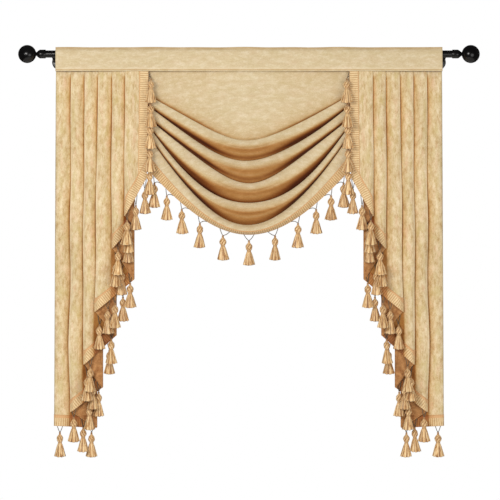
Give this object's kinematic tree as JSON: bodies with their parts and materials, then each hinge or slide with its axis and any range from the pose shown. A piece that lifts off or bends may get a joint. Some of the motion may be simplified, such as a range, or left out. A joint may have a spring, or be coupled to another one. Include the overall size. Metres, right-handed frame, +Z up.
{
  "type": "waterfall valance on a curtain rod",
  "caption": "Tasselled waterfall valance with a draped swag and two pleated tails, sleeved on a wall-mounted rod with ball finials.",
  "frame": {"origin": "on the wall, behind the middle of the rod's axis, where the wall plane meets the height of the rod", "axes": "+X along the rod, +Y into the wall, +Z up; the front of the valance faces -Y"},
  "size_m": [1.788, 0.1982, 1.5883],
  "materials": {
    "cloth": "crushed chenille with a soft sheen, mottled gold; bare brown back",
    "trim": "ribbed gold braid with yarn tassels",
    "metal": "black satin"
  },
  "bodies": {
    "root": {"heading": "cloth", "swag": "cloth", "left_tail": "cloth", "right_tail": "cloth", "swag_fringe": "trim", "left_fringe": "trim", "right_fringe": "trim", "rod": "metal", "left_finial": "metal", "right_finial": "metal", "left_bracket": "metal", "right_bracket": "metal"}
  },
  "joints": []
}
